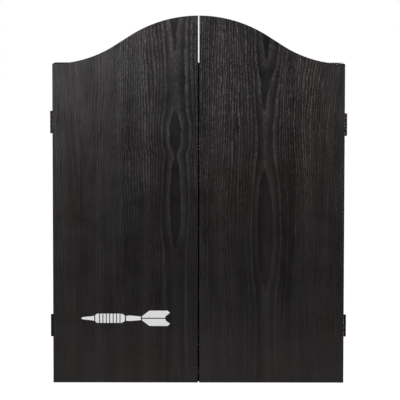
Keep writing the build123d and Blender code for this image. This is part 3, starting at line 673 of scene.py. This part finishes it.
# chipboard: flakes pressed flat, with a darker glue film
def chipboard(look):
    material, tree, shader = newMaterial("chipboard", look)
    own = ownPlace(tree)
    waver = noise(tree, stretch(tree, own, look["pressed"]), look["waverScale"])
    shift = combine(tree, product(tree, waver, look["waver"]), 0.0, 0.0)
    flake = cells(tree, stretch(tree, own, (1.0, 1.0, 1.0), shift), look["flakes"])
    shade = split(tree, flake["Color"])
    tone = ramp(tree, shade[0], look["tones"])
    film = product(tree, remap(tree, flake["Distance"], *look["filmTurn"]), look["film"])
    tone = mixColour(tree, film, tone, look["glue"])
    fibre = noise(tree, stretch(tree, own, look["fibreScale"]), detail=2.0)
    seam = product(tree, remap(tree, fibre, *look["fibreTurn"]), look["fibres"])
    tone = mixColour(tree, seam, tone, look["glue"])
    rough = total(tree, look["roughness"], product(tree, fibre, look["fibreRough"]))
    finish(tree, shader, tone, rough, total(tree, shade[1], fibre), look)
    return material


chipLook = {
    "gloss": 0.2, "pressed": (1.0, 2.6, 1.0), "waverScale": 240.0, "waver": 4 * mm, "flakes": 210.0,
    "tones": [(0.0, (0.22, 0.14, 0.075)), (0.5, (0.36, 0.25, 0.14)), (1.0, (0.52, 0.39, 0.25))],
    "glue": (0.13, 0.08, 0.045), "film": 0.5, "filmTurn": (0.35, 0.75), "roughness": 0.7,
    "fibreScale": (1500.0, 1500.0, 300.0), "fibreTurn": (0.45, 0.7), "fibres": 0.35, "fibreRough": 0.2,
    "relief": 0.15 * mm,
}
dress(chipboard(chipLook), "board_backing")


# clear soft bumpers, cloudy inside and with dust on the dome
def clearPad(look):
    material, tree, shader = newMaterial("clearPad", look, Transmission_Weight=look["clear"],
                                         IOR=look["bend"])
    own = ownPlace(tree)
    cloud = noise(tree, own, look["cloudScale"], detail=4.0)
    tone = mixColour(tree, cloud, look["milky"], look["pale"])
    dusty = product(tree, dustMask(tree, own, look), look["dustRough"])
    rough = total(tree, product(tree, cloud, look["cloudRough"]), dusty, clamp=True)
    finish(tree, shader, tone, rough, cloud, look)
    return material


padLook = {"clear": 0.85, "bend": 1.46, "cloudScale": 260.0, "milky": (0.82, 0.84, 0.82),
           "pale": (0.93, 0.94, 0.93), "dust": (0.2, 0.6), "cloudRough": 0.3, "dustRough": 0.4,
           "relief": 0.03 * mm}
dress(clearPad(padLook), "door_bumpers_left", "door_bumpers_right")
print("wood, hardboard and chipboard")


# scoreboards: matt black slate paint with printed rules, wiped chalk and a few strokes left over
slateLook = {
    "gloss": 0.3, "margin": 9 * mm, "rule": 1.4 * mm, "ruleSoftness": 0.15, "middleColumn": 0.5,
    "headRow": 0.86, "dark": (0.0125, 0.014, 0.0135), "light": (0.022, 0.025, 0.0245),
    "gritScale": 2600.0, "gritTurn": (0.3, 0.6), "chalk": {"left": 0.14, "right": 0.2},
    "chalkTone": (0.5, 0.5, 0.49), "smearScale": (9.0, 9.0, 24.0), "smearTurn": (0.42, 0.74),
    "strokeScale": (30.0, 30.0, 420.0), "strokeTurn": (0.3, 0.7), "leastStroke": 0.35,
    "printTone": (0.66, 0.66, 0.63), "printed": 0.85, "printScale": 700.0, "printTurn": (0.34, 0.5),
    "edge": 0.6 * mm, "patchiness": 200.0, "wear": 0.5, "under": (0.16, 0.11, 0.08),
    "roughness": 0.68, "gritRough": 0.2, "ruleHeight": 0.6, "relief": 0.05 * mm,
}


def slate(side, look):
    low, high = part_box(f"scoreboard_{side}")
    material, tree, shader = newMaterial(f"slate_{side}", look)
    own = ownPlace(tree)
    x, _, z = split(tree, own)
    half, margin, soft = look["rule"] / 2, look["margin"], look["ruleSoftness"]
    rules, limits = [], []
    for value, start, end, middle in ((x, low.x, high.x, "middleColumn"), (z, low.z, high.z, "headRow")):
        size = end - start
        share = remap(tree, value, start, end, smooth=False)
        for place in (margin / size, look[middle], 1 - margin / size):
            off = product(tree, calc(tree, "ABSOLUTE", less(tree, share, place)), size)
            rules.append(remap(tree, off, half * (1 + soft), half * (1 - soft)))
        limits.append(remap(tree, value, start + margin - half, start + margin, smooth=False))
        limits.append(remap(tree, value, end - margin + half, end - margin, smooth=False))
    ruled = product(tree, total(tree, *rules, clamp=True), *limits)

    printWear = remap(tree, noise(tree, own, look["printScale"], detail=3.0), *look["printTurn"])
    smear = stretch(tree, own, look["smearScale"])
    smear = noise(tree, smear, detail=5.0, roughness=0.62, distortion=0.9)
    smear = remap(tree, smear, *look["smearTurn"])
    strokes = noise(tree, stretch(tree, own, look["strokeScale"]), detail=3.0)
    strokes = remap(tree, strokes, *look["strokeTurn"], look["leastStroke"], 1.0)
    grit = noise(tree, own, look["gritScale"], detail=2.0)
    chalk = product(tree, smear, strokes, look["chalk"][side], remap(tree, grit, *look["gritTurn"]))
    tone = mixColour(tree, grit, look["dark"], look["light"])
    tone = mixColour(tree, chalk, tone, look["chalkTone"])
    printed = product(tree, ruled, printWear, look["printed"])
    tone = mixColour(tree, printed, tone, look["printTone"])
    rough = total(tree, look["roughness"], product(tree, grit, look["gritRough"]))
    height = total(tree, grit, product(tree, ruled, look["ruleHeight"]))
    finish(tree, shader, rubbed(tree, own, tone, look), rough, height, look)
    return material


for side in doorOak:
    dress(slate(side, slateLook), f"scoreboard_{side}")


# the sisal face: twenty sectors, two narrow rings and the bull, all from the angle and the distance
boardCentre = sum(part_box("bull_ring"), Vector()) / 2
sectorCount = 20
faceLook = {
    "doubleOuter": 169.4 * mm, "doubleInner": 160.2 * mm, "trebleOuter": 106.4 * mm,
    "trebleInner": 97.2 * mm, "outerBull": 15.3 * mm, "innerBull": 6.7 * mm, "gloss": 0.15,
    "black": (0.012, 0.012, 0.012), "cream": (0.56, 0.45, 0.28),
    "red": (0.33, 0.016, 0.014), "green": (0.006, 0.12, 0.035),
    "bleed": 1.0 * mm, "bleedScale": 700.0, "bleedTurn": 60.0,
    # gaps is the colour of the painted shade between fibre bundles
    "bundleScale": 1100.0, "bundleTurn": (0.2, 0.75), "bundles": 0.5, "gaps": (0.01, 0.009, 0.008),
    "mottleScale": 210.0, "mottleTurn": (0.5, 0.78), "mottles": 0.1,
    "palerBlack": (0.05, 0.048, 0.045), "palerFace": (0.5, 0.42, 0.3),
    "holeScale": 380.0, "holeTurn": (0.2, 0.13), "crowdScale": 75.0, "crowdTurn": (0.5, 0.62),
    # the hole colour is the painted shade inside old dart holes
    "crowdFrom": (170 * mm, 30 * mm), "fewest": 0.25, "holes": 0.8, "holeShadeTone": (0.012, 0.01, 0.008),
    "roughness": 0.78, "mottleRough": 0.18, "mottleHeight": 0.6, "bundleHeight": 0.5, "relief": 0.25 * mm,
}


def sisalFace(look):
    material, tree, shader = newMaterial("sisalFace", look)
    own = ownPlace(tree)
    x, _, z = split(tree, own)
    x = less(tree, x, boardCentre.x)
    z = less(tree, z, boardCentre.z)
    bleed = less(tree, noise(tree, own, look["bleedScale"], detail=2.0), 0.5)
    bleed = product(tree, bleed, look["bleed"])
    distance = calc(tree, "SQRT", total(tree, product(tree, x, x), product(tree, z, z)))
    distance = total(tree, distance, bleed)
    turn = product(tree, calc(tree, "ARCTAN2", x, z), sectorCount / (2 * math.pi))
    sector = total(tree, turn, sectorCount + 0.5, product(tree, bleed, look["bleedTurn"]))
    odd = calc(tree, "GREATER_THAN", calc(tree, "MODULO", sector, 2.0), 1.0)

    def inside(edge):
        return calc(tree, "LESS_THAN", distance, look[edge])

    def ring(outer, inner):
        return less(tree, inside(outer), inside(inner))

    beds = mixColour(tree, odd, look["black"], look["cream"])
    narrow = mixColour(tree, odd, look["red"], look["green"])
    tone = mixColour(tree, inside("doubleOuter"), look["black"], beds)
    tone = mixColour(tree, ring("doubleOuter", "doubleInner"), tone, narrow)
    tone = mixColour(tree, ring("trebleOuter", "trebleInner"), tone, narrow)
    tone = mixColour(tree, inside("outerBull"), tone, look["green"])
    tone = mixColour(tree, inside("innerBull"), tone, look["red"])

    # end-on fibre bundles with painted shade in the gaps between them, paler where the dye hasn't reached,
    # and old dart holes crowding to the middle, painted dark as the shade inside them
    bundle = cells(tree, own, look["bundleScale"])["Distance"]
    gaps = product(tree, remap(tree, bundle, *look["bundleTurn"]), look["bundles"])
    tone = mixColour(tree, gaps, tone, look["gaps"])
    mottle = noise(tree, own, look["mottleScale"], detail=4.0, roughness=0.7)
    pale = mixColour(tree, inside("doubleOuter"), look["palerBlack"], look["palerFace"])
    mottled = product(tree, remap(tree, mottle, *look["mottleTurn"]), look["mottles"])
    tone = mixColour(tree, mottled, tone, pale)
    hole = remap(tree, cells(tree, own, look["holeScale"])["Distance"], *look["holeTurn"])
    crowd = remap(tree, noise(tree, own, look["crowdScale"], detail=2.0), *look["crowdTurn"])
    spread = remap(tree, distance, *look["crowdFrom"], look["fewest"], 1.0)
    hole = product(tree, hole, crowd, spread)
    # each old dart hole is painted near black as the shade inside it
    tone = mixColour(tree, product(tree, hole, look["holes"]), tone, look["holeShadeTone"])
    rough = total(tree, look["roughness"], product(tree, mottle, look["mottleRough"]))
    sunk = total(tree, product(tree, bundle, look["bundleHeight"]), hole)
    height = less(tree, product(tree, mottle, look["mottleHeight"]), sunk)
    finish(tree, shader, tone, rough, height, look)
    return material


dress(sisalFace(faceLook), "sisal_face")
print("dart board face and scoreboards")


# pieces built here: a curve of plain wire runs, given its thickness
def wirePiece(name, runs, radius, material, body, replaced=()):
    curve = bpy.data.curves.new(name, "CURVE")
    curve.dimensions = "3D"
    curve.bevel_depth = radius
    curve.bevel_resolution = 3
    curve.use_fill_caps = True
    for points, closed in runs:
        spline = curve.splines.new("POLY")
        spline.points.add(len(points) - 1)
        for spot, point in zip(spline.points, points):
            spot.co = (*point, 1.0)
        spline.use_cyclic_u = closed
    piece = bpy.data.objects.new(name, curve)
    bpy.context.scene.collection.objects.link(piece)
    curve.materials.append(material)
    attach(piece, body)
    if replaced:
        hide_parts(*replaced)


def onBoard(radius, angle, y):
    return boardCentre.x + radius * math.sin(angle), y, boardCentre.z + radius * math.cos(angle)


# the wires lie where the colours of the face change
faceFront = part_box("sisal_face")[0].y
spiderLook = {
    "ringEdges": ("doubleOuter", "doubleInner", "trebleOuter", "trebleInner", "outerBull"),
    "ringWire": 0.55 * mm, "ringProud": 0.85 * mm, "ringSteps": 144,
    "spokeWire": 0.5 * mm, "spokeProud": 0.42 * mm, "spokeTo": 169.0 * mm,
}


def buildSpider(look):
    ringY = faceFront - look["ringProud"]
    turns = [2 * math.pi * step / look["ringSteps"] for step in range(look["ringSteps"])]
    rings = []
    for edge in look["ringEdges"]:
        rings.append(([onBoard(faceLook[edge], angle, ringY) for angle in turns], True))
    spokeY = faceFront - look["spokeProud"]
    spokes = []
    for sector in range(sectorCount):
        angle = 2 * math.pi * (sector + 0.5) / sectorCount
        ends = [onBoard(radius, angle, spokeY) for radius in (faceLook["outerBull"], look["spokeTo"])]
        spokes.append((ends, False))
    for name, runs, wire in (("rings", rings, "ringWire"), ("spokes", spokes, "spokeWire")):
        wirePiece(f"spider_{name}", runs, look[wire], metalMaterials["wireSteel"],
                  "dartboard", ["wire_spider"])


buildSpider(spiderLook)

# numerals bent from wire: every digit is a few strokes and arcs on a grid one unit high
digitStrokes = {
    0: [[(0.0, 0.25), "arc", (0.3, 0.25), 0.3, 180, 360, (0.6, 0.75), "arc", (0.3, 0.75), 0.3, 0, 180,
         (0.0, 0.25)]],
    1: [[(0.1, 0.78), (0.34, 1.0), (0.34, 0.0)]],
    2: [["arc", (0.3, 0.72), 0.28, 165, -35, (0.0, 0.0), (0.6, 0.0)]],
    3: [["arc", (0.28, 0.75), 0.25, 150, -80, "arc", (0.28, 0.27), 0.27, 80, -150]],
    4: [[(0.62, 0.28), (0.0, 0.28), (0.42, 1.0), (0.42, 0.0)]],
    5: [[(0.55, 1.0), (0.1, 1.0), (0.05, 0.55), "arc", (0.28, 0.3), 0.3, 120, -150]],
    6: [[(0.5, 1.0), (0.1, 0.5), "arc", (0.3, 0.29), 0.28, 150, 510]],
    7: [[(0.0, 1.0), (0.58, 1.0), (0.18, 0.0)]],
    8: [["arc", (0.3, 0.76), 0.23, 270, 630, "arc", (0.3, 0.27), 0.27, 90, -270]],
    9: [[(0.1, 0.0), (0.5, 0.5), "arc", (0.3, 0.71), 0.28, -30, -390]],
}
boardOrder = (20, 1, 18, 4, 13, 6, 10, 15, 2, 17, 3, 19, 7, 16, 8, 11, 14, 9, 12, 5)
# the digits' width and gap are shares of their height, and an arc has a point every so many degrees
numeralLook = {"height": 19 * mm, "middle": 183.2 * mm, "width": 0.6, "gap": 0.2, "wire": 1.05 * mm,
               "proud": 1.1 * mm, "arcStep": 20}


def strokePoints(stroke, arcStep):
    points = []
    steps = iter(stroke)
    for item in steps:
        if item == "arc":
            centre, radius, start, end = next(steps), next(steps), next(steps), next(steps)
            count = max(2, round(abs(end - start) / arcStep))
            for step in range(count + 1):
                angle = math.radians(start + (end - start) * step / count)
                points.append((centre[0] + radius * math.cos(angle), centre[1] + radius * math.sin(angle)))
        else:
            points.append(item)
    return points


def buildNumerals(look):
    runs = []
    y = faceFront - look["proud"]
    for place, number in enumerate(boardOrder):
        angle = 2 * math.pi * place / sectorCount
        digits = [int(digit) for digit in str(number)]
        width = look["width"] * len(digits) + look["gap"] * (len(digits) - 1)
        for position, digit in enumerate(digits):
            shift = position * (look["width"] + look["gap"]) - width / 2
            for stroke in digitStrokes[digit]:
                run = []
                for u, v in strokePoints(stroke, look["arcStep"]):
                    side = (u + shift) * look["height"]
                    out = look["middle"] + (v - 0.5) * look["height"]
                    run.append((boardCentre.x + side * math.cos(angle) + out * math.sin(angle), y,
                                boardCentre.z - side * math.sin(angle) + out * math.cos(angle)))
                runs.append((run, False))
    wirePiece("numerals", runs, look["wire"], metalMaterials["wireSteel"], "dartboard")


buildNumerals(numeralLook)
print("board wires and numerals")


# a plain dart stencilled in white on the left door, with the gaps that a stencil's bridges leave
def stencilPaint(look):
    material, tree, shader = newMaterial("stencilPaint", look)
    own = ownPlace(tree)
    grit = noise(tree, own, look["gritScale"], detail=3.0, roughness=0.6)
    patches = noise(tree, stretch(tree, own, look["patchScale"]), detail=4.0, roughness=0.65)
    feed(tree, shader.inputs["Alpha"], remap(tree, patches, *look["missing"]))
    tone = mixColour(tree, grit, look["thin"], look["thick"])
    rough = total(tree, look["roughness"], product(tree, grit, look["gritRough"]))
    finish(tree, shader, tone, rough, grit, look)
    return material


paintLook = {"gloss": 0.3, "thin": (0.72, 0.73, 0.73), "thick": (0.9, 0.9, 0.9), "gritScale": 900.0,
             "patchScale": (240.0, 240.0, 90.0), "missing": (0.27, 0.33), "roughness": 0.5,
             "gritRough": 0.3, "relief": 0.03 * mm}
stencilLook = {
    "aboveBottom": 114 * mm, "proud": 0.05 * mm, "sunk": 0.05 * mm,
    # outlines in millimetres from the middle of the mark, upper half only
    "point": [(-78, 0.0), (-75, 2.0), (-58, 3.6), (-55, 4.8), (-55, 0.0)],
    "barrel": [(-53, 0.0), (-53, 5.6), (-50, 8.2), (-46.5, 8.2), (-46.5, 0.0)],
    "barrelRings": 6, "barrelRing": (4.4, 8.2), "barrelFrom": -44.9, "barrelPitch": 6.0,
    "barrelEnd": [(-8.9, 0.0), (-8.9, 8.2), (-5, 7.4), (-1, 4.6), (-1, 0.0)],
    "shaft": [(1, 0.0), (1, 4.4), (7, 4.9), (27, 3.2), (27, 0.0)],
    "flight": [(29, 0.9), (29, 3.8), (42, 13.5), (74, 13.5), (78, 9.5), (70, 3.6), (70, 0.9)],
}


def buildStencil(look):
    low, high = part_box("door_left")
    centreX, centreZ = (low.x + high.x) / 2, low.z + look["aboveBottom"]
    front, back = low.y - look["proud"], low.y + look["sunk"]
    halves = [look[name] for name in ("point", "barrel", "barrelEnd", "shaft", "flight")]
    wide, tall = look["barrelRing"]
    for number in range(look["barrelRings"]):
        start = look["barrelFrom"] + number * look["barrelPitch"]
        halves.append([(start, 0.0), (start, tall), (start + wide, tall), (start + wide, 0.0)])
    mesh = bmesh.new()
    for outline in halves:
        for flip in (1, -1):
            rims = []
            for y in (front, back):
                spots = [(centreX + x * mm, y, centreZ + flip * z * mm) for x, z in outline]
                rims.append([mesh.verts.new(spot) for spot in spots])
            mesh.faces.new(rims[0])
            mesh.faces.new(list(reversed(rims[1])))
            for first in range(len(outline)):
                second = (first + 1) % len(outline)
                mesh.faces.new((rims[0][first], rims[1][first], rims[1][second], rims[0][second]))
    bmesh.ops.recalc_face_normals(mesh, faces=mesh.faces)
    data = bpy.data.meshes.new("stencil_mark")
    mesh.to_mesh(data)
    mesh.free()
    piece = bpy.data.objects.new("stencil_mark", data)
    bpy.context.scene.collection.objects.link(piece)
    data.materials.append(stencilPaint(paintLook))
    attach(piece, "left_door")


buildStencil(stencilLook)
print("stencil mark")


# stage: pale floor, soft lights and the camera
floorLook = {"below": 1.73, "size": 60.0, "squares": 8, "tone": (0.86, 0.86, 0.86),
             "otherTone": (0.9, 0.9, 0.9), "toneScale": 3.0, "roughness": 0.9}
worldLook = {"backdrop": 1.0, "ambient": 0.045}
lightLooks = {
    "key": dict(place=(-0.55, -1.0, 0.62), aim=(-0.2, 0.0, 0.3), size=(0.36, 0.3), power=11.6,
                tint=(1.0, 0.985, 0.99)),
    "fill": dict(place=(0.9, -0.86, 0.64), aim=(0.34, 0.0, 0.3), size=(0.36, 0.3), power=9.2,
                 tint=(1.0, 0.98, 0.95)),
    "low": dict(place=(0.0, -1.5, -0.85), aim=(0.0, 0.0, -0.2), size=(1.2, 0.4), power=2.2,
                tint=(1.0, 0.93, 0.9)),
    "rear": dict(place=(0.8, 2.2, -0.1), aim=(0.0, 0.0, 0.0), size=(1.6, 1.2), power=45.0, tint=white),
    "rearLeft": dict(place=(-2.2, 0.6, 0.5), aim=(0.0, 0.0, 0.0), size=(0.8, 1.2), power=12.0, tint=white),
    "rearRight": dict(place=(2.2, 0.6, 0.5), aim=(0.0, 0.0, 0.0), size=(0.8, 1.2), power=12.0, tint=white),
}
cameraLook = {"lens": 221.4, "sensor": 36.0, "reach": 200.0, "distance": 4.3, "elevation": 4.93,
              "aimX": 2.5 * mm, "aimZ": 66.5 * mm, "lean": 0.06}


# the camera sees the floor and the world as plain white, whatever light falls on them
def buildFloor(look):
    mesh = bmesh.new()
    squares = look["squares"]
    bmesh.ops.create_grid(mesh, x_segments=squares, y_segments=squares, size=look["size"] / 2)
    bmesh.ops.translate(mesh, vec=(0, 0, -look["below"]), verts=mesh.verts)
    data = bpy.data.meshes.new("floor")
    mesh.to_mesh(data)
    mesh.free()
    floor = bpy.data.objects.new("floor", data)
    bpy.context.scene.collection.objects.link(floor)
    material, tree, shader = newMaterial("floorPaint", look, Roughness=look["roughness"])
    patches = noise(tree, ownPlace(tree), look["toneScale"], detail=3.0)
    tone = mixColour(tree, patches, look["tone"], look["otherTone"])
    feed(tree, shader.inputs["Base Color"], tone)
    shader.inputs["Emission Color"].default_value = colour(white)
    seen = tree.nodes.new("ShaderNodeLightPath").outputs["Is Camera Ray"]
    feed(tree, shader.inputs["Emission Strength"], seen)
    data.materials.append(material)


def buildWorld(look):
    world = bpy.data.worlds.new("studio")
    world.use_nodes = True
    tree = world.node_tree
    background = tree.nodes["Background"]
    background.inputs["Color"].default_value = colour(white)
    seen = tree.nodes.new("ShaderNodeLightPath").outputs["Is Camera Ray"]
    strength = mixValue(tree, seen, look["ambient"], look["backdrop"])
    feed(tree, background.inputs["Strength"], strength)
    bpy.context.scene.world = world


def buildLight(name, look):
    data = bpy.data.lights.new(name, "AREA")
    data.shape = "RECTANGLE"
    data.size, data.size_y = look["size"]
    data.energy = look["power"]
    data.color = look["tint"]
    light = bpy.data.objects.new(name, data)
    light.location = look["place"]
    aim = Vector(look["aim"]) - light.location
    light.rotation_euler = aim.to_track_quat("-Z", "Y").to_euler()
    light.visible_camera = False
    bpy.context.scene.collection.objects.link(light)


def buildCamera(look):
    data = bpy.data.cameras.new("camera")
    data.sensor_width = look["sensor"]
    data.lens = look["lens"]
    data.clip_end = look["reach"]
    camera = bpy.data.objects.new("camera", data)
    bpy.context.scene.collection.objects.link(camera)
    aim = Vector((look["aimX"], cadLow.y, look["aimZ"]))
    up = math.radians(look["elevation"])
    back = Vector((0.0, -math.cos(up), math.sin(up)))
    camera.location = aim + back * look["distance"]
    lean = Matrix.Rotation(math.radians(look["lean"]), 3, "Z")
    camera.rotation_euler = ((-back).to_track_quat("-Z", "Y").to_matrix() @ lean).to_euler()
    bpy.context.scene.camera = camera


buildFloor(floorLook)
buildWorld(worldLook)
for name, look in lightLooks.items():
    buildLight(name, look)
buildCamera(cameraLook)
bpy.context.scene.view_settings.view_transform = "Standard"
print("stage, lights and camera")
